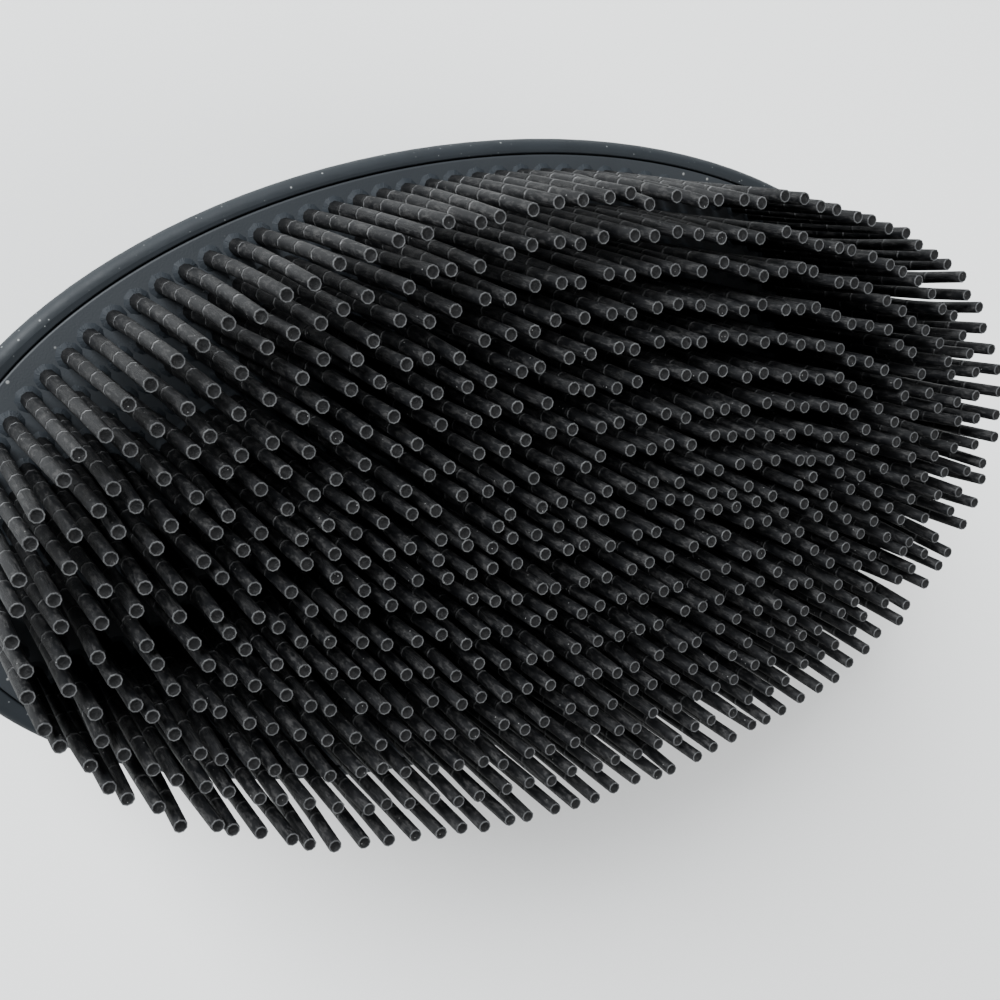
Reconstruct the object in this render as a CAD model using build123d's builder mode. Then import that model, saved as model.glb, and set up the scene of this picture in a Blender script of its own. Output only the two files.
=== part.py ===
from build123d import *
from math import cos, hypot, pi, sin
import os

# Palm-held rubber curry brush, lying on its back with the pins up.
# X runs along the brush, Y across it, Z up along the pins. The origin is on the
# surface that the flat crown of the back rests on, under the middle of the brush.
# All sizes are in millimetres.

# Overall sizes
rim_length = 144.0
rim_width = 81.0
face_height = 31.0  # rubber face above the resting surface
pin_length = 23.3

# Running and fitting clearances
slip_gap = 0.15  # between pieces that drop into each other
thread_gap = 0.05  # round a screw or a pin in its hole
strap_gap = 0.4  # between the strap and the shell
peel_gap = 0.3  # between the two halves of the strap

# Rubber pad and its pins: closed rings inside each other and one middle row
pad_thickness = 2.0
pin_base_radius = 1.0
pin_tip_radius = 0.76
ring_count = 9
ring_margin_end = 4.1  # from the edge of the pad to the outermost ring
ring_margin_side = 2.6
ring_step_end = 3.85  # from ring to ring at the ends
inner_ring_half_width = 3.0
pin_pitch = 3.1  # along a ring

# Front rim: a band round the pad, undercut below its widest line, with a ledge
# under the plate and a skirt over the shell
rim_band_end = 2.7
rim_band_side = 1.7
rim_round = 1.25
rim_widest_drop = 1.5  # from the face down to the widest line
rim_undercut = 2.6
rim_inner_round = 0.2
ledge_width = 10.0
ledge_thickness = 1.6
skirt_height = 1.4
skirt_thickness = 0.9

# Backing plate under the pad
plate_thickness = 3.0
plate_inset = 3.2  # from the edge of the pad
boss_diameter = 7.0
rib_thickness = 1.6
rib_depth = 5.0

# Back shell with a channel across it for the strap
shell_wall = 2.4
shell_round_wanted = 18.0
shell_round_share = 0.85  # of the tightest curve of the oval, at most
strap_width = 38.0
channel_side_gap = 1.5
channel_top_gap = 1.0  # above the sewn eye of the strap
channel_depth = 7.0

# Soft grips let into the two ends of the shell
grip_thickness = 1.3
grip_length = 37.0
grip_bottom = 4.0
grip_top_margin = 5.0  # below the top edge of the shell
grip_groove_count = 4
grip_groove_height = 1.3
grip_groove_depth = 0.6

# Screws
plate_screw_count = 6
plate_screw_inset = 7.6  # from the edge of the pad to the axis of a screw
plate_screw_shank = 2.2
plate_screw_head = 4.2
plate_screw_head_height = 1.5
plate_screw_length = 4.2
shell_screw_inset = 31.0  # from the end of the shell
shell_screw_y = 11.0
shell_screw_shank = 3.0
shell_screw_head = 5.6
shell_screw_head_height = 2.2
shell_screw_length = 16.0
shell_boss_wall = 1.8
counterbore_depth = 4.5
counterbore_floor = 2.2
counterbore_gap = 0.3  # round the screw's head
shank_gap = 0.2  # round a shank where it passes through
pilot_spare = 1.0  # hole beyond the screw's tip
head_cross_width = 0.9
head_cross_depth = 0.8

# Strap: two halves, each sewn round its own steel pin
strap_thickness = 1.4
patch_thickness = 0.9
patch_margin = 3.0  # bare webbing along each edge of a patch
patch_end_margin = 1.0
strap_pin_diameter = 2.5
strap_pin_drop = 7.3  # below the top edge of the shell
strap_pin_seat = 1.6
eye_gap = 0.2
inner_tip_margin = 9.5  # from the edge of the flat crown
outer_tip_margin = 1.5
hook_patch_margin = 9.5
loop_patch_margin = 12.5
tab_length = 15.0
tab_width = 24.0
tab_thickness = 1.2
tab_overhang = 1.5
layer_corner_radius = 2.0

# Levels, from the rubber face down
pad_bottom = face_height - pad_thickness
plate_bottom = pad_bottom - plate_thickness
shell_top = plate_bottom - ledge_thickness
rim_bottom = shell_top - skirt_height
rim_widest = face_height - rim_widest_drop

# Half lengths and half widths of the ellipses
rim_a = rim_length / 2
rim_b = rim_width / 2
pad_a = rim_a - rim_band_end
pad_b = rim_b - rim_band_side
plate_a = pad_a - plate_inset
plate_b = pad_b - plate_inset
shell_a = rim_a - rim_undercut - skirt_thickness - slip_gap
shell_b = rim_b - rim_undercut - skirt_thickness - slip_gap
shell_round = min(shell_round_wanted, shell_round_share * shell_b**2 / shell_a)
crown_half = shell_b - shell_round
ring_a = pad_a - ring_margin_end
ring_b = pad_b - ring_margin_side
ring_step_side = (ring_b - inner_ring_half_width) / (ring_count - 1)
shell_screw_x = shell_a - shell_screw_inset
grip_inset = shell_a - grip_length
channel_half = strap_width / 2 + channel_side_gap

# Strap layers, counted outwards from the floor of the channel
inner_layer = strap_gap
hook_layer = inner_layer + strap_thickness
loop_layer = hook_layer + patch_thickness + peel_gap
outer_layer = loop_layer + patch_thickness
tab_layer = outer_layer + strap_thickness
eye_inner_radius = strap_pin_diameter / 2 + eye_gap
eye_outer_radius = eye_inner_radius + strap_thickness
channel_wall_y = shell_b - channel_depth
strap_pin_y = channel_wall_y + tab_layer - eye_outer_radius
strap_pin_height = shell_top - strap_pin_drop
inner_half_tip = inner_tip_margin - crown_half
outer_half_tip = crown_half - outer_tip_margin
hook_patch_reach = crown_half - hook_patch_margin
loop_patch_reach = loop_patch_margin - crown_half
channel_top = strap_pin_height + eye_outer_radius + channel_top_gap

# Levels of the screws
shell_boss_top = counterbore_depth + counterbore_floor
plate_boss_bottom = shell_boss_top + slip_gap

ON_FLOOR = (Align.CENTER, Align.CENTER, Align.MIN)
UNDER_FLOOR = (Align.CENTER, Align.CENTER, Align.MAX)

os.makedirs("parts", exist_ok=True)


def save(part, name):
    """Label a finished piece and write it to its own file."""
    part.label = name
    export_step(part, f"parts/{name}.step")


def ring_points(half_length, half_width, pitch):
    """Points spaced evenly along an ellipse, the first at its +X end."""
    fine = 3600
    turn = [2 * pi * i / fine for i in range(fine + 1)]
    xs = [half_length * cos(t) for t in turn]
    ys = [half_width * sin(t) for t in turn]
    run = [0.0]
    for i in range(fine):
        run.append(run[-1] + hypot(xs[i + 1] - xs[i], ys[i + 1] - ys[i]))
    count = round(run[-1] / pitch)
    points = []
    i = 0
    for k in range(count):
        target = run[-1] * k / count
        while run[i + 1] < target:
            i += 1
        points.append((xs[i], ys[i]))
    return points


def dish(inset):
    """The solid outline of the back shell, moved in from its outside by the inset."""
    with BuildPart(mode=Mode.PRIVATE) as block:
        with BuildSketch(Plane.XY.offset(inset)):
            Ellipse(shell_a - inset, shell_b - inset)
        extrude(amount=shell_top - inset)
        bottom_edge = block.edges().group_by(Axis.Z)[0]
        fillet(bottom_edge, shell_round - inset)
    return block.part


def slot(half_width, height, inset):
    """A slot across the outside of the shell, as deep as the inset."""
    core = dish(inset)
    with BuildPart(mode=Mode.PRIVATE) as block:
        Box(2 * half_width, rim_width, height, align=ON_FLOOR)
        add(core, mode=Mode.SUBTRACT)
    return block.part


def screw(shank, head, head_height, length):
    """A cross-headed screw pointing up, its head under the XY plane."""
    with BuildPart(mode=Mode.PRIVATE) as block:
        Cylinder(head / 2, head_height, align=UNDER_FLOOR)
        chamfer(block.edges().group_by(Axis.Z)[0], head_height / 4)
        Cylinder(shank / 2, length, align=ON_FLOOR)
        with Locations((0, 0, -head_height)):
            Box(head * 0.6, head_cross_width, head_cross_depth, align=ON_FLOOR, mode=Mode.SUBTRACT)
            Box(head_cross_width, head * 0.6, head_cross_depth, align=ON_FLOOR, mode=Mode.SUBTRACT)
    return block.part


def strap_half(side, layer, tip):
    """Webbing from an eye round the pin on one side, along one layer, to its tip."""
    near, far = sorted((tip, side * rim_b))
    with BuildPart() as webbing:
        with BuildSketch(Plane.YZ) as section:
            for distance, mode in ((layer + strap_thickness, Mode.ADD), (layer, Mode.SUBTRACT)):
                half = channel_wall_y + distance
                corner = shell_round - channel_depth + distance
                with Locations((0, channel_depth - distance + shell_top)):
                    RectangleRounded(2 * half, 2 * shell_top, corner, mode=mode)
            with Locations(((near + far) / 2, strap_pin_height / 2)):
                Rectangle(far - near, strap_pin_height, mode=Mode.INTERSECT)
            with Locations((side * strap_pin_y, strap_pin_height)):
                Circle(eye_outer_radius)
                Circle(eye_inner_radius, mode=Mode.SUBTRACT)
        extrude(amount=strap_width / 2, both=True)
    return webbing.part


def flat_layer(layer, thickness, width, near, far):
    """A flat piece lying in one layer under the crown, from y = near to y = far."""
    with BuildPart() as piece:
        with BuildSketch(Plane.XY.offset(channel_depth - layer - thickness)):
            with Locations((0, (near + far) / 2)):
                RectangleRounded(width, far - near, layer_corner_radius)
        extrude(amount=thickness)
    return piece.part


# Rubber pad: one moulding, a flat sheet with all its pins
pin_spots = []
for ring in range(ring_count):
    half_length = ring_a - ring * ring_step_end
    half_width = ring_b - ring * ring_step_side
    pin_spots += ring_points(half_length, half_width, pin_pitch)
row_half = ring_a - ring_count * ring_step_end
row_count = round(2 * row_half / pin_pitch) + 1
for k in range(row_count):
    pin_spots.append((-row_half + 2 * row_half * k / (row_count - 1), 0))

with BuildPart() as pin_pad:
    with BuildSketch(Plane.XY.offset(pad_bottom)):
        Ellipse(pad_a - slip_gap, pad_b - slip_gap)
    extrude(amount=pad_thickness)
    with Locations(*[(x, y, face_height) for x, y in pin_spots]):
        Cone(pin_base_radius, pin_tip_radius, pin_length, align=ON_FLOOR)
save(pin_pad.part, "pin_pad")

# Front rim: hard plastic ring, held to the plate by screws through its ledge
plate_screw_a = pad_a - plate_screw_inset
plate_screw_b = pad_b - plate_screw_inset
plate_screw_spots = []
for k in range(plate_screw_count):
    turn = 2 * pi * k / plate_screw_count
    plate_screw_spots.append((plate_screw_a * cos(turn), plate_screw_b * sin(turn)))

with BuildPart() as front_rim:
    with BuildSketch(Plane.XY.offset(rim_bottom)):
        Ellipse(rim_a - rim_undercut, rim_b - rim_undercut)
    with BuildSketch(Plane.XY.offset(rim_widest)):
        Ellipse(rim_a, rim_b)
    loft(ruled=True)
    with BuildSketch(Plane.XY.offset(rim_widest)):
        Ellipse(rim_a, rim_b)
    extrude(amount=rim_widest_drop)
    top_edge = front_rim.edges().group_by(Axis.Z)[-1]
    fillet(top_edge, rim_round)
    with BuildSketch(Plane.XY.offset(pad_bottom)):
        Ellipse(pad_a, pad_b)
    extrude(amount=pad_thickness, mode=Mode.SUBTRACT)
    with BuildSketch(Plane.XY.offset(plate_bottom)):
        Ellipse(plate_a, plate_b)
    extrude(amount=plate_thickness, mode=Mode.SUBTRACT)
    with BuildSketch(Plane.XY.offset(shell_top)):
        Ellipse(pad_a - ledge_width, pad_b - ledge_width)
    extrude(amount=ledge_thickness, mode=Mode.SUBTRACT)
    with BuildSketch(Plane.XY.offset(rim_bottom)):
        Ellipse(shell_a + slip_gap, shell_b + slip_gap)
    extrude(amount=skirt_height, mode=Mode.SUBTRACT)
    inner_edge = front_rim.edges().group_by(Axis.Z)[-1].sort_by(SortBy.LENGTH)[0]
    fillet(inner_edge, rim_inner_round)
    with BuildSketch(Plane.XY.offset(shell_top)):
        with Locations(*plate_screw_spots):
            Circle(plate_screw_shank / 2 + shank_gap)
    extrude(amount=ledge_thickness, mode=Mode.SUBTRACT)
save(front_rim.part, "front_rim")

# Backing plate: stiff sheet with ribs and four long bosses for the shell's screws
with BuildPart() as backing_plate:
    with BuildSketch(Plane.XY.offset(plate_bottom)):
        Ellipse(plate_a - slip_gap, plate_b - slip_gap)
    extrude(amount=plate_thickness)
    with BuildSketch(Plane.XY.offset(plate_bottom - rib_depth)):
        Rectangle(2 * shell_screw_x, rib_thickness)
        with GridLocations(2 * shell_screw_x, 0, 2, 1):
            Rectangle(rib_thickness, 2 * shell_screw_y)
    extrude(amount=rib_depth)
    with BuildSketch(Plane.XY.offset(plate_boss_bottom)):
        with GridLocations(2 * shell_screw_x, 2 * shell_screw_y, 2, 2):
            Circle(boss_diameter / 2)
    extrude(amount=plate_bottom - plate_boss_bottom)
    with BuildSketch(Plane.XY.offset(plate_boss_bottom)):
        with GridLocations(2 * shell_screw_x, 2 * shell_screw_y, 2, 2):
            Circle(shell_screw_shank / 2 + thread_gap)
    shell_screw_reach = counterbore_depth + shell_screw_length + pilot_spare
    extrude(amount=shell_screw_reach - plate_boss_bottom, mode=Mode.SUBTRACT)
    with BuildSketch(Plane.XY.offset(plate_bottom)):
        with Locations(*plate_screw_spots):
            Circle(plate_screw_shank / 2 + thread_gap)
    extrude(amount=plate_screw_length - ledge_thickness, mode=Mode.SUBTRACT)
save(backing_plate.part, "backing_plate")

# Soft grips: U-shaped skins wrapped round the two ends, with finger grooves
grip_top = shell_top - grip_top_margin
end_skin = dish(0)
grip_core = dish(grip_thickness)
groove_core = dish(grip_groove_depth)
groove_pitch = (grip_top - grip_bottom) / (grip_groove_count + 1)


def grip_blank(side):
    """The full skin at one end of the shell, before its grooves."""
    with BuildPart() as blank:
        add(end_skin)
        add(grip_core, mode=Mode.SUBTRACT)
        end_align = Align.MIN if side > 0 else Align.MAX
        box_align = (end_align, Align.CENTER, Align.MIN)
        with Locations((side * grip_inset, 0, grip_bottom)):
            Box(rim_a, rim_width, grip_top - grip_bottom, align=box_align, mode=Mode.INTERSECT)
    return blank.part


groove_rings = []
for k in range(grip_groove_count):
    with BuildPart() as groove_ring:
        with Locations((0, 0, grip_bottom + (k + 1) * groove_pitch - grip_groove_height / 2)):
            Box(2 * rim_a, rim_width, grip_groove_height, align=ON_FLOOR)
        add(groove_core, mode=Mode.SUBTRACT)
    groove_rings.append(groove_ring.part)

grip_blanks = {"grip_toe": grip_blank(1), "grip_heel": grip_blank(-1)}
for name, blank in grip_blanks.items():
    with BuildPart() as grip:
        add(blank)
        for ring in groove_rings:
            add(ring, mode=Mode.SUBTRACT)
    save(grip.part, name)

# Back shell: a thin dish with the strap's channel, pin holes and screw bosses
shell_outside = dish(0)
strap_channel = slot(channel_half, channel_top, channel_depth)
channel_wall_block = slot(channel_half + shell_wall, channel_top + shell_wall, channel_depth + shell_wall)
with BuildPart() as shell_cavity:
    add(dish(shell_wall))
    add(channel_wall_block, mode=Mode.SUBTRACT)
cavity = shell_cavity.part
pin_hole_reach = channel_half + strap_pin_seat + slip_gap

with BuildPart() as back_shell:
    add(shell_outside)
    add(strap_channel, mode=Mode.SUBTRACT)
    add(cavity, mode=Mode.SUBTRACT)
    with BuildSketch(Plane.XY.offset(shell_wall / 2)):
        with GridLocations(2 * shell_screw_x, 2 * shell_screw_y, 2, 2):
            Circle(shell_screw_head / 2 + counterbore_gap + shell_boss_wall)
    extrude(amount=shell_boss_top - shell_wall / 2)
    with BuildSketch(Plane.XY):
        with GridLocations(2 * shell_screw_x, 2 * shell_screw_y, 2, 2):
            Circle(shell_screw_head / 2 + counterbore_gap)
    extrude(amount=counterbore_depth, mode=Mode.SUBTRACT)
    with BuildSketch(Plane.XY.offset(counterbore_depth)):
        with GridLocations(2 * shell_screw_x, 2 * shell_screw_y, 2, 2):
            Circle(shell_screw_shank / 2 + shank_gap)
    extrude(amount=counterbore_floor, mode=Mode.SUBTRACT)
    with BuildSketch(Plane.YZ):
        with Locations((strap_pin_y, strap_pin_height), (-strap_pin_y, strap_pin_height)):
            Circle(strap_pin_diameter / 2 + thread_gap)
    extrude(amount=pin_hole_reach, both=True, mode=Mode.SUBTRACT)
    with BuildSketch(Plane.YZ):
        with Locations((strap_pin_y, strap_pin_height), (-strap_pin_y, strap_pin_height)):
            Circle(eye_outer_radius + strap_gap)
    extrude(amount=channel_half, both=True, mode=Mode.SUBTRACT)
    for blank in grip_blanks.values():
        add(blank, mode=Mode.SUBTRACT)
save(back_shell.part, "back_shell")

# Screws: one set under the ledge, one set in the counterbores of the crown
plate_screw = screw(plate_screw_shank, plate_screw_head, plate_screw_head_height, plate_screw_length)
with BuildPart() as plate_screws:
    with Locations(*[(x, y, shell_top) for x, y in plate_screw_spots]):
        add(plate_screw)
save(plate_screws.part, "plate_screws")

shell_screw = screw(shell_screw_shank, shell_screw_head, shell_screw_head_height, shell_screw_length)
with BuildPart() as shell_screws:
    with Locations((0, 0, counterbore_depth)):
        with GridLocations(2 * shell_screw_x, 2 * shell_screw_y, 2, 2):
            add(shell_screw)
save(shell_screws.part, "shell_screws")

# Steel pins across the channel, one for each half of the strap
for name, side in (("strap_pin_inner", 1), ("strap_pin_outer", -1)):
    with BuildPart() as strap_pin:
        with BuildSketch(Plane.YZ):
            with Locations((side * strap_pin_y, strap_pin_height)):
                Circle(strap_pin_diameter / 2)
        extrude(amount=channel_half + strap_pin_seat, both=True)
    save(strap_pin.part, name)

# Strap halves and what is sewn on them
patch_width = strap_width - 2 * patch_margin
save(strap_half(1, inner_layer, inner_half_tip), "strap_inner")
save(strap_half(-1, outer_layer, outer_half_tip), "strap_outer")
hook_start = inner_half_tip + patch_end_margin
loop_end = outer_half_tip - patch_end_margin
hook_patch = flat_layer(hook_layer, patch_thickness, patch_width, hook_start, hook_patch_reach)
loop_patch = flat_layer(loop_layer, patch_thickness, patch_width, loop_patch_reach, loop_end)
tab_end = outer_half_tip + tab_overhang
pull_tab = flat_layer(tab_layer, tab_thickness, tab_width, tab_end - tab_length, tab_end)
save(hook_patch, "hook_patch")
save(loop_patch, "loop_patch")
save(pull_tab, "pull_tab")
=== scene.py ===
from math import cos, hypot, pi, sin
from random import Random

import bpy
from mathutils import Matrix, Vector


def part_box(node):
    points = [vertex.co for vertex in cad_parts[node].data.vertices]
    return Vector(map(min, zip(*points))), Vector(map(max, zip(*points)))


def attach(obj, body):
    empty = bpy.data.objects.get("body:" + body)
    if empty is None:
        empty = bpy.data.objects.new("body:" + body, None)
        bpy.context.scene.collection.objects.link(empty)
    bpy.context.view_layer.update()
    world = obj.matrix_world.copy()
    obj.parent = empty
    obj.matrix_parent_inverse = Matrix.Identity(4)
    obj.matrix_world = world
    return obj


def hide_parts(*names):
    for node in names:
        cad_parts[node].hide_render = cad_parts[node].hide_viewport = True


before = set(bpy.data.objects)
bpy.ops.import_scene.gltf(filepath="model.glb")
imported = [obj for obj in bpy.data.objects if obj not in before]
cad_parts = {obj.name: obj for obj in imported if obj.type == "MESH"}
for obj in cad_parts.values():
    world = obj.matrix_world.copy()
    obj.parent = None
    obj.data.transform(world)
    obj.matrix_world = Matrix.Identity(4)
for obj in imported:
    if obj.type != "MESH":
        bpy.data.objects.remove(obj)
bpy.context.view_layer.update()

MM = 0.001

# ---------------------------------------------------------------------------
# Rubber pad: the flat sheet of the one moulding that also carries the pins. It
# drops into the rim flush with its top, and a fine dark line shows between them.
pad_low, pad_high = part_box("pin_pad")
face_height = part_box("front_rim")[1].z
pin_length = pad_high.z - face_height
pad_edge_round = 0.22 * MM
pad_sides = 240


class Wire:
    """One socket of a material's nodes. Arithmetic on it adds the Math nodes."""

    def __init__(self, tree, socket=None):
        self.tree = tree
        self.socket = socket

    def node(self, kind, settings, sockets, output=0):
        """Add a node, with its settings made first and its sockets filled after."""
        made = self.tree.nodes.new(kind)
        for name, value in settings.items():
            setattr(made, name, value)
        for name, value in sockets.items():
            if isinstance(value, Wire):
                self.tree.links.new(value.socket, made.inputs[name])
            else:
                made.inputs[name].default_value = value
        return Wire(self.tree, made.outputs[output])

    def math(self, operation, *values):
        return self.node("ShaderNodeMath", {"operation": operation}, dict(enumerate(values)))

    def __add__(self, other):
        return self.math("ADD", self, other)

    def __radd__(self, other):
        return self.math("ADD", other, self)

    def __sub__(self, other):
        return self.math("SUBTRACT", self, other)

    def __rsub__(self, other):
        return self.math("SUBTRACT", other, self)

    def __mul__(self, other):
        return self.math("MULTIPLY", self, other)

    def __rmul__(self, other):
        return self.math("MULTIPLY", other, self)

    def __abs__(self):
        return self.math("ABSOLUTE", self)

    def step(self, low, high):
        """0 below low, 1 above high, smooth between them."""
        settings = {"interpolation_type": "SMOOTHSTEP"}
        sockets = {"Value": self, "From Min": low, "From Max": high}
        return self.node("ShaderNodeMapRange", settings, sockets)

    def band(self, centre, half_width):
        """1 at the centre, falling to 0 at half a width to each side."""
        return 1 - abs(self - centre).step(0, half_width)

    def mix(self, low, high):
        """From one colour to the other as this goes from 0 to 1."""
        ends = [end if isinstance(end, Wire) else (*end, 1) for end in (low, high)]
        sockets = {0: self, 6: ends[0], 7: ends[1]}
        return self.node("ShaderNodeMix", {"data_type": "RGBA"}, sockets, 2)


class Finish:
    """A material under construction: the principled shader and what feeds it."""

    def __init__(self, name, **constants):
        self.material = bpy.data.materials.new(name)
        self.material.use_nodes = True
        self.tree = self.material.node_tree
        self.shader = self.tree.nodes["Principled BSDF"]
        self.wire = Wire(self.tree)
        self.place = self.wire.node("ShaderNodeTexCoord", {}, {}, "Object")
        for socket, value in constants.items():
            self.shader.inputs[socket.replace("_", " ")].default_value = value

    def uv(self, layer, axis):
        """One coordinate of a named UV map."""
        whole = self.wire.node("ShaderNodeUVMap", {"uv_map": layer}, {})
        return self.wire.node("ShaderNodeSeparateXYZ", {}, {0: whole}, axis)

    def noise(self, grain, detail=3.0, rough=0.55, place=None):
        """Noise whose spots are about as wide as the grain, in metres."""
        sockets = {"Vector": place or self.place, "Scale": 1 / grain}
        sockets.update({"Detail": detail, "Roughness": rough})
        return self.wire.node("ShaderNodeTexNoise", {}, sockets)

    def specks(self, spacing, share):
        """Small round specks, one in some of the cells of the given spacing."""
        sockets = {"Vector": self.place, "Scale": 1 / spacing}
        near = self.wire.node("ShaderNodeTexVoronoi", {}, sockets, "Distance")
        tint = self.wire.node("ShaderNodeTexVoronoi", {}, sockets, "Color")
        chosen = self.wire.node("ShaderNodeSeparateXYZ", {}, {0: tint})
        return (1 - near.step(0.08, 0.2)) * chosen.step(1 - share, 1 - share * 0.6)

    def feed(self, **wires):
        """Link wires to sockets of the shader; a bump is a (height, depth) pair."""
        for socket, value in wires.items():
            if socket == "bump":
                height, depth = value
                sockets = {"Height": height, "Distance": depth}
                value = self.wire.node("ShaderNodeBump", {}, sockets)
                socket = "Normal"
            self.tree.links.new(value.socket, self.shader.inputs[socket.replace("_", " ")])
        return self.material


def start(primitive, **settings):
    """Deselect everything, add a primitive and return its object."""
    bpy.ops.object.select_all(action="DESELECT")
    primitive(**settings)
    return bpy.context.object


def select(piece, mode, chosen):
    """In edit mode, select just the vertices or faces that pass a test."""
    bpy.ops.mesh.select_mode(type=mode)
    bpy.ops.mesh.select_all(action="DESELECT")
    bpy.ops.object.mode_set(mode="OBJECT")
    items = piece.data.vertices if mode == "VERT" else piece.data.polygons
    for item in items:
        item.select = chosen(item)
    bpy.ops.object.mode_set(mode="EDIT")


def settle(piece, name, body, nodes, smooth=None):
    """Name a finished piece, put its place in its mesh and join it to the frame."""
    piece.name = name
    piece.data.name = name
    bpy.ops.object.select_all(action="DESELECT")
    piece.select_set(True)
    bpy.context.view_layer.objects.active = piece
    bpy.ops.object.transform_apply(location=True, rotation=True, scale=True)
    if smooth is not None:
        bpy.ops.object.shade_smooth_by_angle(angle=smooth)
    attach(piece, body)
    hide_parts(*nodes)


def paint(node, material):
    """Give a CAD node's own mesh a better material."""
    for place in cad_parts[node].material_slots:
        place.material = material


rubber_face = Finish("rubber_face", Roughness=0.62, Specular_IOR_Level=0.35)
cloud = rubber_face.noise(9 * MM, 4.0)
grain = rubber_face.noise(0.22 * MM, 2.0)
dust = rubber_face.specks(1.3 * MM, 0.10)
shade = cloud.mix((0.0085, 0.0105, 0.0128), (0.0145, 0.0175, 0.0208))
shade = (dust * 0.5).mix(shade, (0.30, 0.30, 0.29))
rubber_face.feed(
    Base_Color=shade,
    Roughness=0.54 + 0.16 * rubber_face.noise(3 * MM),
    bump=(grain + 2 * dust, 0.02 * MM),
)

pad_sheet = start(
    bpy.ops.mesh.primitive_cylinder_add,
    vertices=pad_sides,
    radius=1,
    depth=face_height - pad_low.z,
    location=(0, 0, (face_height + pad_low.z) / 2),
    scale=(pad_high.x, pad_high.y, 1),
)
bpy.ops.object.transform_apply(location=True, rotation=False, scale=True)
bpy.ops.object.mode_set(mode="EDIT")
select(pad_sheet, "FACE", lambda face: face.normal.z > 0.5)
bpy.ops.mesh.bevel(offset=pad_edge_round, segments=3)
bpy.ops.object.mode_set(mode="OBJECT")
pad_sheet.data.materials.append(rubber_face.material)
settle(pad_sheet, "pad_sheet", "brush", ["pin_pad"], 0.6)

# ---------------------------------------------------------------------------
# Pins: several hundred tapered rubber fingers moulded with the sheet, in rings
# inside each other and one row down the middle. Each has a low collar, four faint
# ring marks left by the mould and a lipped flat tip. They are soft, so no two
# stand quite alike.
ring_count = 9
ring_margin_end = 3.95 * MM
ring_margin_side = 2.45 * MM
ring_step_end = 3.85 * MM
inner_ring_half_width = 3.0 * MM
pin_pitch = 3.1 * MM
least_gap = 2.3 * MM
oval_steps = 3600
pin_sides = 9
foot_radius = 0.92 * MM
tip_radius = 0.77 * MM
collar_radius = 1.5 * MM
collar_height = 0.26 * MM
lip_width = 0.15 * MM
lip_depth = 0.07 * MM
lean_spread = 0.36 * MM
splay_start = 18 * MM
splay_run = 40 * MM
side_lean_run = 34 * MM
pin_marks = (0.13, 0.33, 0.54, 0.74)
mark_width = 0.010
# Painted highlight bands just above the mould marks: how far above each mark they sit and how wide
# they are, as shares of the pin's height.
shoulder_highlight_rise = 0.012
shoulder_highlight_width = 0.009

# Height and radius up one pin, from the edge of its collar to the middle of its tip,
# and how far up the pin its material takes each of them to be.
pin_profile = [
    (0, collar_radius, 0),
    (collar_height, foot_radius, 0.01),
    (0.36 * pin_length, 0.86 * MM, 0.36),
    (0.68 * pin_length, 0.79 * MM, 0.68),
    (pin_length - 0.07 * MM, tip_radius, 0.99),
    (pin_length, tip_radius - 0.05 * MM, 1.0),
    (pin_length - 0.01 * MM, tip_radius - lip_width, 1.02),
    (pin_length - lip_depth, tip_radius - lip_width - 0.06 * MM, 1.04),
]

rubber_pins = Finish("rubber_pins", Roughness=0.5, Specular_IOR_Level=0.16)
along = rubber_pins.uv("pin", 1)
own = rubber_pins.uv("seed", 0)
around = rubber_pins.uv("pin", 0)
grooves = along.band(pin_marks[0], mark_width)
# Painted highlight: a light band just above each mould mark, as if a shoulder there caught the
# light.
shoulder_highlights = along.band(pin_marks[0] + shoulder_highlight_rise, shoulder_highlight_width)
for mark in pin_marks[1:]:
    grooves = grooves + along.band(mark, mark_width)
    shoulder_highlights = shoulder_highlights + along.band(mark + shoulder_highlight_rise, shoulder_highlight_width)
lip = along.step(0.985, 0.995) * (1 - along.step(1.02, 1.03))
disc = along.step(1.03, 1.04)
collar = 1 - along.step(0.009, 0.012)
streak_place = rubber_pins.wire.node(
    "ShaderNodeCombineXYZ", {}, {0: around * 9, 1: along * 14, 2: own * 300}
)
# Streaks along the pins: partly dust and partly a painted highlight, lighter streaks standing in
# for the light running down each pin.
dust_and_highlight_streaks = rubber_pins.noise(1.0, 5.0, 0.7, streak_place).step(0.46, 0.68)
film = rubber_pins.noise(1.6 * MM, 5.0, 0.65)
# Patchy noise: it breaks up the painted highlights on the shoulders and lips, and it varies the
# tone of the tips.
wear_and_highlight_patches = rubber_pins.noise(0.5 * MM, 3.0).step(0.4, 0.7)
shade = film.step(0.35, 0.65).mix((0.0010, 0.0012, 0.0017), (0.0038, 0.0039, 0.0044))
# Painted highlight and dust: the streaks are painted much lighter than the rubber.
shade = (dust_and_highlight_streaks * 0.8).mix(shade, (0.025, 0.0245, 0.0243))
# Painted shade: the lowest part of every pin is darkened, as where the pins shade one another near
# the pad.
shade = ((1 - along.step(0.11, 0.15)) * 0.7).mix(shade, (0.001, 0.001, 0.0012))
# Painted shade: the mould marks are painted near black, as shade in the small grooves.
shade = (grooves * 0.85).mix(shade, (0.001, 0.001, 0.001))
# Painted highlight on the shoulders, broken up by the patches.
shade = (shoulder_highlights * (0.25 + 0.75 * wear_and_highlight_patches)).mix(shade, (0.12, 0.12, 0.122))
shade = collar.mix(shade, (0.0145, 0.0175, 0.021))
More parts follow.
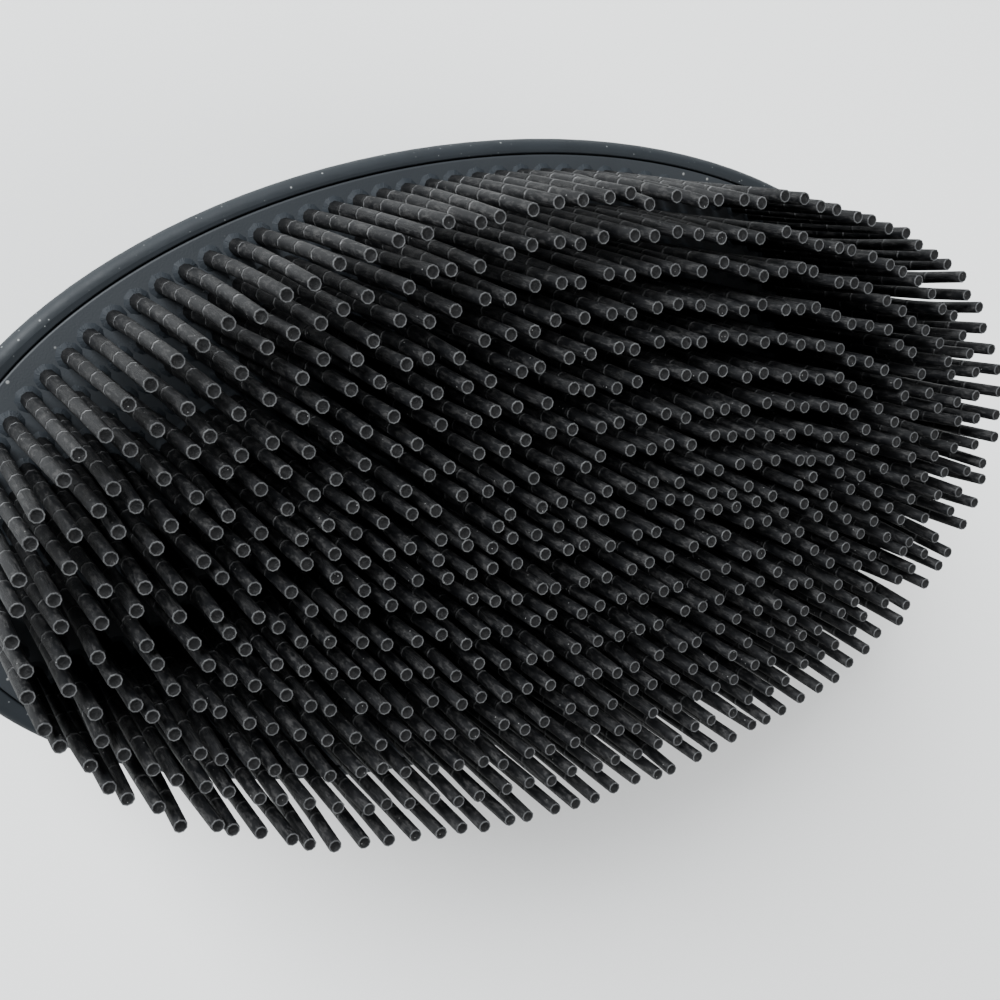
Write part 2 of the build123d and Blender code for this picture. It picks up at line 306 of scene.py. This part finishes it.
# Painted highlight: the raised lip round each tip is painted far lighter than the rubber, as if
# its edge caught the light.
shade = (lip * 0.9).mix(shade, wear_and_highlight_patches.mix((0.042, 0.043, 0.044), (0.080, 0.081, 0.082)))
shade = disc.mix(shade, wear_and_highlight_patches.mix((0.002, 0.0021, 0.0024), (0.0075, 0.0076, 0.008)))
dots = rubber_pins.specks(0.45 * MM, 0.10) * disc
flecks = rubber_pins.specks(0.55 * MM, 0.05) + dots
shade = (flecks * 0.5).mix(shade, (0.30, 0.30, 0.29))
rubber_pins.feed(
    Base_Color=shade,
    Roughness=0.40 + 0.22 * film + 0.12 * own,
    bump=(film * 0.6 + dust_and_highlight_streaks * 0.4 - grooves * 1.5 + flecks, 0.08 * MM),
)

one_pin = start(
    bpy.ops.mesh.primitive_circle_add,
    vertices=pin_sides,
    radius=pin_profile[0][1],
    fill_type="NOTHING",
)
bpy.ops.object.mode_set(mode="EDIT")
select(one_pin, "VERT", lambda vertex: True)
for (low, wide, _), (high, narrow, _) in zip(pin_profile, pin_profile[1:]):
    bpy.ops.mesh.extrude_region_move(TRANSFORM_OT_translate={"value": (0, 0, high - low)})
    bpy.ops.transform.resize(value=(narrow / wide, narrow / wide, 1), center_override=(0, 0, high))
bpy.ops.mesh.edge_face_add()
select(one_pin, "VERT", lambda vertex: vertex.co.z < collar_height / 2)
bpy.ops.mesh.edge_face_add()
bpy.ops.mesh.select_all(action="SELECT")
bpy.ops.mesh.normals_make_consistent(inside=False)
bpy.ops.object.mode_set(mode="OBJECT")
pin_shape = [vertex.co.copy() for vertex in one_pin.data.vertices]
pin_faces = [list(face.vertices) for face in one_pin.data.polygons]
bpy.data.objects.remove(one_pin)


def ring_points(half_length, half_width, pitch):
    """Points spaced evenly along an oval, the first at its +X end."""
    turns = [2 * pi * i / oval_steps for i in range(oval_steps + 1)]
    oval = [(half_length * cos(turn), half_width * sin(turn)) for turn in turns]
    run = [0.0]
    for (x0, y0), (x1, y1) in zip(oval, oval[1:]):
        run.append(run[-1] + hypot(x1 - x0, y1 - y0))
    count = round(run[-1] / pitch)
    points = []
    i = 0
    for k in range(count):
        while run[i + 1] < run[-1] * k / count:
            i += 1
        points.append(oval[i])
    return points


def pin_along(index):
    """How far up a pin its profile's ring of that vertex lies."""
    return pin_profile[index // pin_sides][2]


def clear_feet(feet, stood):
    """Leave out the feet that would crowd a pin which already stands."""
    kept = []
    for x, y in feet:
        if all(hypot(x - other_x, y - other_y) > least_gap for other_x, other_y in stood + kept):
            kept.append((x, y))
    return kept


def settled_lean(x, y):
    """How far a soft pin's tip has settled from over its foot: they draw in along
    the sides and splay out round the +X end."""
    end = min(max((x - splay_start) / splay_run, 0), 1)
    side = y / side_lean_run
    return Vector((0.1 - 0.8 * end, -0.75 - 0.35 * side + end * (1.4 + 2.6 * side), 0)) * MM


def stand_pins(name, feet, luck):
    """Copy the pin to each foot, each with its own lean, as one piece."""
    points = []
    faces = []
    for x, y in feet:
        chance = Vector((luck.gauss(0, 1), luck.gauss(0, 1), 0))
        lean = settled_lean(x, y) + chance * lean_spread
        turn = Matrix.Rotation(luck.uniform(0, 2 * pi), 3, "Z")
        first = len(points)
        for vertex in pin_shape:
            rise = max(vertex.z, 0) / pin_length
            points.append(turn @ vertex + lean * rise**1.7 + Vector((x, y, face_height)))
        faces += [[first + corner for corner in face] for face in pin_faces]
    mesh = bpy.data.meshes.new(name)
    mesh.from_pydata(points, [], faces)
    pin_map = mesh.uv_layers.new(name="pin")
    seed_map = mesh.uv_layers.new(name="seed")
    seeds = [luck.random() for _ in feet]
    for loop in mesh.loops:
        pin, corner = divmod(loop.vertex_index, len(pin_shape))
        around = corner % pin_sides / pin_sides
        pin_map.data[loop.index].uv = (around, pin_along(corner))
        seed_map.data[loop.index].uv = (seeds[pin], 0)
    mesh.materials.append(rubber_pins.material)
    piece = bpy.data.objects.new(name, mesh)
    bpy.context.collection.objects.link(piece)
    settle(piece, name, "brush", ["pin_pad"], 0.9)


luck = Random(7)
stood = []
ring_a = pad_high.x - ring_margin_end
ring_b = pad_high.y - ring_margin_side
ring_step_side = (ring_b - inner_ring_half_width) / (ring_count - 1)
for ring in range(ring_count):
    feet = ring_points(ring_a - ring * ring_step_end, ring_b - ring * ring_step_side, pin_pitch)
    feet = clear_feet(feet, stood)
    stood += feet
    stand_pins(f"pins_ring_{ring + 1}", feet, luck)
row_half = ring_a - ring_count * ring_step_end
row_count = round(2 * row_half / pin_pitch) + 1
row = [(-row_half + 2 * row_half * k / (row_count - 1), 0) for k in range(row_count)]
stand_pins("pins_middle_row", clear_feet(row, stood), luck)

# ---------------------------------------------------------------------------
# Front rim: one hard plastic ring, moulded with a soft gloss, that frames the pad
# and hides the joint with the shell. Its outer edge is rounded over.
rim_plastic = Finish("rim_plastic", Roughness=0.55, Specular_IOR_Level=0.2)
cloud = rim_plastic.noise(6 * MM, 3.0)
patches = rim_plastic.noise(11 * MM, 2.0).step(0.35, 0.6)
dust = rim_plastic.specks(0.5 * MM, 0.28) * patches + rim_plastic.specks(0.8 * MM, 0.12)
dust = dust * rim_plastic.noise(1.5 * MM)
shade = cloud.mix((0.0075, 0.0095, 0.0115), (0.0125, 0.0155, 0.0185))
shade = (dust * 1.1).mix(shade, (0.25, 0.26, 0.255))
rim_plastic.feed(
    Base_Color=shade,
    Roughness=0.50 + 0.22 * rim_plastic.noise(2.0 * MM),
    bump=(rim_plastic.noise(0.5 * MM) + dust, 0.012 * MM),
)
paint("front_rim", rim_plastic.material)

# ---------------------------------------------------------------------------
# Back shell: the palm side, a deep dish moulded in the rim's colour with a fine
# spark-eroded texture. Screws hold it to the plate inside.
shell_plastic = Finish("shell_plastic", Roughness=0.5, Specular_IOR_Level=0.38)
cloud = shell_plastic.noise(12 * MM, 3.0)
shade = cloud.mix((0.0095, 0.012, 0.0145), (0.016, 0.0195, 0.023))
shell_plastic.feed(
    Base_Color=shade,
    Roughness=0.46 + 0.14 * shell_plastic.noise(4 * MM),
    bump=(shell_plastic.noise(0.35 * MM, 1.0), 0.03 * MM),
)
paint("back_shell", shell_plastic.material)

# ---------------------------------------------------------------------------
# Backing plate: a plain moulded stiffener that the pad is bonded to. Its bosses
# take the shell's screws, and the closed shell hides it.
plate_plastic = Finish("plate_plastic", Roughness=0.6)
shade = plate_plastic.noise(8 * MM).mix((0.016, 0.016, 0.017), (0.026, 0.026, 0.027))
plate_plastic.feed(Base_Color=shade, bump=(plate_plastic.noise(0.5 * MM), 0.02 * MM))
paint("backing_plate", plate_plastic.material)

# ---------------------------------------------------------------------------
# Grips: soft-touch rubber moulded into a recess at each end of the shell, with
# grooves for the fingertips.
grip_rubber = Finish("grip_rubber", Roughness=0.75, Sheen_Weight=0.15, Sheen_Roughness=0.4)
shade = grip_rubber.noise(7 * MM).mix((0.008, 0.009, 0.010), (0.016, 0.017, 0.019))
shade = (grip_rubber.specks(1.5 * MM, 0.05) * 0.5).mix(shade, (0.25, 0.25, 0.24))
grip_rubber.feed(
    Base_Color=shade,
    Roughness=0.68 + 0.16 * grip_rubber.noise(3 * MM),
    bump=(grip_rubber.noise(0.25 * MM, 2.0), 0.03 * MM),
)
paint("grip_toe", grip_rubber.material)
paint("grip_heel", grip_rubber.material)

# ---------------------------------------------------------------------------
# Screws and strap pins: zinc-plated screws that close the shell, and drawn steel
# rods across the channel that the strap's eyes turn on.
steel = Finish("steel", Metallic=1.0, Roughness=0.32)
shade = steel.noise(0.8 * MM).mix((0.42, 0.42, 0.43), (0.60, 0.60, 0.61))
steel.feed(
    Base_Color=shade,
    Roughness=0.25 + 0.2 * steel.noise(0.4 * MM),
    bump=(steel.noise(0.2 * MM), 0.006 * MM),
)
for node in ("plate_screws", "shell_screws", "strap_pin_inner", "strap_pin_outer"):
    paint(node, steel.material)

# ---------------------------------------------------------------------------
# Hand strap: two halves of woven nylon webbing. Each is folded round its steel
# pin and sewn back on itself, and lies along the channel across the crown.
strap_thickness = 1.3 * MM
strap_room = 1.4 * MM
strap_edge_round = 0.3 * MM
webbing_cells = 14
webbing_pitch = 0.9 * MM
crown_half = 19.96 * MM
arc_centre_height = 16.89 * MM
eye_radius = 2.1 * MM
eye_turn = 5.3
path_step = 0.9 * MM

webbing = Finish("webbing", Roughness=0.8, Sheen_Weight=0.25, Sheen_Roughness=0.5)
across = webbing.uv("UVMap", 0)
down = webbing.uv("UVMap", 1)
warp = abs(webbing.wire.math("SINE", across * (pi / webbing_pitch)))
weft = abs(webbing.wire.math("SINE", down * (pi / webbing_pitch) + across * (pi / webbing_pitch)))
weave = warp * 0.6 + weft * 0.6
shade = weave.step(0.3, 1.1).mix((0.006, 0.006, 0.007), (0.024, 0.025, 0.028))
shade = (webbing.noise(5 * MM, 4.0) * 0.4).mix(shade, (0.030, 0.030, 0.032))
webbing.feed(
    Base_Color=shade,
    Roughness=0.7 + 0.2 * webbing.noise(2 * MM),
    bump=(weave + 0.4 * webbing.noise(0.15 * MM), 0.12 * MM),
)

thread = Finish("thread", Roughness=0.55)
shade = thread.noise(0.4 * MM).mix((0.030, 0.031, 0.034), (0.060, 0.062, 0.067))
thread.feed(Base_Color=shade, bump=(thread.noise(0.12 * MM), 0.03 * MM))


def webbing_path(tip, layer_height, pin_side, pin_height, outside):
    """Points (y, z) up one strap half, as if its pin were on the +Y side."""
    arc_radius = arc_centre_height - layer_height
    side = crown_half + arc_radius
    eye_start = pin_side + eye_radius if outside else pin_side - eye_radius
    points = []
    flat_steps = round((crown_half - tip) / path_step)
    for k in range(flat_steps):
        points.append((tip + (crown_half - tip) * k / flat_steps, layer_height))
    arc_steps = round(arc_radius * pi / 2 / path_step)
    for k in range(arc_steps + 1):
        turn = pi / 2 * k / arc_steps
        y = crown_half + arc_radius * sin(turn)
        y += (eye_start - side) * (k / arc_steps) ** 4
        points.append((y, arc_centre_height - arc_radius * cos(turn)))
    eye_steps = round(eye_turn * eye_radius / path_step * 2)
    first, sense = (0, 1) if outside else (pi, -1)
    for k in range(eye_steps + 1):
        turn = first + sense * eye_turn * k / eye_steps
        points.append((pin_side + eye_radius * cos(turn), pin_height + eye_radius * sin(turn)))
    return points


def lay_webbing(name, node, pin_node, body, side, outside):
    """One strap half, from a flat grid bent along its path and given a thickness."""
    low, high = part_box(node)
    pin_low, pin_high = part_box(pin_node)
    pin = (pin_low + pin_high) / 2
    tip = low.y if side > 0 else -high.y
    layer_height = low.z + strap_room / 2
    path = webbing_path(tip, layer_height, abs(pin.y), pin.z, outside)
    strap = start(
        bpy.ops.mesh.primitive_grid_add,
        x_subdivisions=webbing_cells,
        y_subdivisions=len(path) - 1,
        size=1,
        calc_uvs=True,
    )
    length = sum(hypot(b[0] - a[0], b[1] - a[1]) for a, b in zip(path, path[1:]))
    for texel in strap.data.uv_layers[0].data:
        texel.uv = (texel.uv[0] * (high.x - low.x), texel.uv[1] * length)
    for vertex in strap.data.vertices:
        y, z = path[round((vertex.co.y + 0.5) * (len(path) - 1))]
        vertex.co = (vertex.co.x * (high.x - low.x), side * y, z)
    bpy.ops.object.mode_set(mode="EDIT")
    bpy.ops.mesh.select_all(action="SELECT")
    if side < 0:
        bpy.ops.mesh.flip_normals()
    bpy.ops.object.mode_set(mode="OBJECT")
    strap.modifiers.new("thickness", "SOLIDIFY").thickness = strap_thickness
    strap.modifiers["thickness"].offset = 0
    edge = strap.modifiers.new("edge", "BEVEL")
    edge.width = strap_edge_round
    edge.segments = 2
    edge.angle_limit = 0.9
    for modifier in ("thickness", "edge"):
        bpy.ops.object.modifier_apply(modifier=modifier)
    strap.data.materials.append(webbing.material)
    settle(strap, name, body, [node], 0.8)
    return layer_height


outer_height = lay_webbing(
    "webbing_outer", "strap_outer", "strap_pin_outer", "outer_half", -1, True
)
inner_height = lay_webbing(
    "webbing_inner", "strap_inner", "strap_pin_inner", "inner_half", 1, False
)

# ---------------------------------------------------------------------------
# Fastening patches: woven tape with a soft pile on one half and stiff hooks on
# the other, each sewn on round its edge.
pile_seed = 3
pile_cuts = 40
pile_height = 0.12 * MM
patch_edge_round = 0.25 * MM
stitch_pitch = 2.3 * MM
stitch_inset = 1.1 * MM
stitch_size = (0.75 * MM, 0.24 * MM, 0.16 * MM)

pile = Finish("pile", Roughness=0.9, Sheen_Weight=0.4, Sheen_Roughness=0.6)
curl = pile.noise(0.5 * MM, 5.0, 0.7)
pile.feed(Base_Color=curl.mix((0.004, 0.004, 0.005), (0.026, 0.026, 0.029)), bump=(curl, 0.3 * MM))

hook_pitch = 0.8 * MM
hooks = Finish("hooks", Roughness=0.45)
place_x = hooks.wire.node("ShaderNodeSeparateXYZ", {}, {0: hooks.place}, 0)
place_y = hooks.wire.node("ShaderNodeSeparateXYZ", {}, {0: hooks.place}, 1)
rows = abs(hooks.wire.math("SINE", place_x * (pi / hook_pitch)))
files = abs(hooks.wire.math("SINE", place_y * (pi / hook_pitch)))
stems = rows * files * (0.7 + 0.6 * hooks.noise(0.6 * MM))
hooks.feed(
    Base_Color=stems.step(0.3, 0.8).mix((0.003, 0.003, 0.004), (0.045, 0.046, 0.050)),
    Roughness=0.38 + 0.2 * hooks.noise(1.2 * MM),
    bump=(stems.step(0.25, 0.75), 0.3 * MM),
)

stitch = start(bpy.ops.mesh.primitive_uv_sphere_add, segments=8, ring_count=6, radius=1)
stitch_shape = [
    Vector(map(float.__mul__, vertex.co, stitch_size)) for vertex in stitch.data.vertices
]
stitch_faces = [list(face.vertices) for face in stitch.data.polygons]
bpy.data.objects.remove(stitch)


def sew_patch(name, node, body, finish, pile_side, outside_height):
    """A patch with a pile on one face, and its stitches through the webbing."""
    low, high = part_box(node)
    size = high - low
    centre = (low + high) / 2
    patch = start(bpy.ops.mesh.primitive_cube_add, size=1, location=centre, scale=size)
    bpy.ops.object.transform_apply(location=True, rotation=False, scale=True)
    bpy.ops.object.mode_set(mode="EDIT")
    bpy.ops.mesh.bevel(offset=patch_edge_round, segments=2)
    select(patch, "FACE", lambda face: face.normal.z * pile_side > 0.9)
    bpy.ops.mesh.subdivide(number_cuts=pile_cuts)
    select(patch, "FACE", lambda face: face.normal.z * pile_side > 0.9)
    bpy.ops.transform.vertex_random(offset=pile_height, seed=pile_seed)
    bpy.ops.object.mode_set(mode="OBJECT")
    patch.data.materials.append(finish.material)
    settle(patch, name, body, [node])

    seam = []
    half_x = size.x / 2 - stitch_inset
    half_y = size.y / 2 - stitch_inset
    middle = (low.y + high.y) / 2
    for sign in (-1, 1):
        count = round(2 * half_x / stitch_pitch)
        for k in range(count + 1):
            seam.append((-half_x + 2 * half_x * k / count, middle + sign * half_y, 0))
        count = round(2 * half_y / stitch_pitch)
        for k in range(1, count):
            seam.append((sign * half_x, middle - half_y + 2 * half_y * k / count, pi / 2))
    points = []
    faces = []
    for x, y, turn in seam:
        first = len(points)
        place = Vector((x, y, outside_height))
        points += [Matrix.Rotation(turn, 3, "Z") @ point + place for point in stitch_shape]
        faces += [[first + corner for corner in face] for face in stitch_faces]
    mesh = bpy.data.meshes.new(name + "_stitches")
    mesh.from_pydata(points, [], faces)
    mesh.materials.append(thread.material)
    stitches = bpy.data.objects.new(name + "_stitches", mesh)
    bpy.context.collection.objects.link(stitches)
    settle(stitches, name + "_stitches", body, [], 1.2)


webbing_half = strap_thickness / 2
sew_patch("pile_patch", "loop_patch", "outer_half", pile, 1, outer_height - webbing_half)
sew_patch("hook_tape", "hook_patch", "inner_half", hooks, -1, inner_height + webbing_half)

# ---------------------------------------------------------------------------
# Pull tab: a soft ribbed rubber tongue sewn on the end of the outer half, to peel
# the strap open with.
rib_pitch = 1.6 * MM
tab_rubber = Finish("tab_rubber", Roughness=0.65)
place_y = tab_rubber.wire.node("ShaderNodeSeparateXYZ", {}, {0: tab_rubber.place}, 1)
rib = abs(tab_rubber.wire.math("SINE", place_y * (pi / rib_pitch)))
shade = tab_rubber.noise(2 * MM).mix((0.012, 0.012, 0.013), (0.024, 0.024, 0.026))
tab_rubber.feed(
    Base_Color=shade,
    Roughness=0.58 + 0.15 * tab_rubber.noise(1.0 * MM),
    bump=(rib.step(0.5, 0.9) + 0.2 * tab_rubber.noise(0.2 * MM), 0.15 * MM),
)
paint("pull_tab", tab_rubber.material)

# ---------------------------------------------------------------------------
# Studio: a plain pale floor, one large soft light from beyond the -X end and the
# +Y side, a weak fill and an even sky. The camera looks down over that corner.
floor_paint = Finish("floor_paint", Roughness=0.45, Specular_IOR_Level=0.3)
shade = floor_paint.noise(300 * MM, 2.0).mix((0.86, 0.87, 0.855), (0.90, 0.90, 0.895))
floor_paint.feed(Base_Color=shade)
floor_drop = 0.1 * MM
floor = start(bpy.ops.mesh.primitive_plane_add, size=6, location=(0, 0, -floor_drop))
floor.name = "floor"
floor.data.materials.append(floor_paint.material)

face_centre = Vector((0, 0, face_height))


def soft_light(name, towards, distance, size, power, colour):
    """A square area light that stands off the brush and faces its pad."""
    lamp = bpy.data.lights.new(name, "AREA")
    lamp.size = size
    lamp.energy = power
    lamp.color = colour
    stand = bpy.data.objects.new(name, lamp)
    stand.location = face_centre + Vector(towards).normalized() * distance
    stand.rotation_euler = (-Vector(towards)).to_track_quat("-Z", "Y").to_euler()
    bpy.context.collection.objects.link(stand)


soft_light("key_light", (-0.58, 0.74, 0.52), 1.7, 0.9, 114, (0.95, 0.98, 1.0))
soft_light("fill_light", (0.7, -0.3, 0.9), 1.6, 0.9, 12, (1.0, 0.99, 0.97))
sky = bpy.data.worlds.new("sky")
sky.use_nodes = True
sky.node_tree.nodes["Background"].inputs["Color"].default_value = (0.93, 0.96, 1.0, 1)
sky.node_tree.nodes["Background"].inputs["Strength"].default_value = 0.54
bpy.context.scene.world = sky

camera_place = Vector((-77.2, 48.4, 139.7)) * MM + face_centre
camera_right = Vector((0.8702, -0.0422, 0.4910))
camera_up = Vector((0.1926, 0.9462, -0.2601))
camera_data = bpy.data.cameras.new("camera")
camera_data.sensor_width = 36
camera_data.lens = 46.3
camera_data.shift_y = 0.0067
camera_data.clip_start = 0.01
camera = bpy.data.objects.new("camera", camera_data)
turn = Matrix((camera_right, camera_up, camera_right.cross(camera_up))).transposed()
camera.matrix_world = Matrix.Translation(camera_place) @ turn.to_4x4()
bpy.context.collection.objects.link(camera)
bpy.context.scene.camera = camera
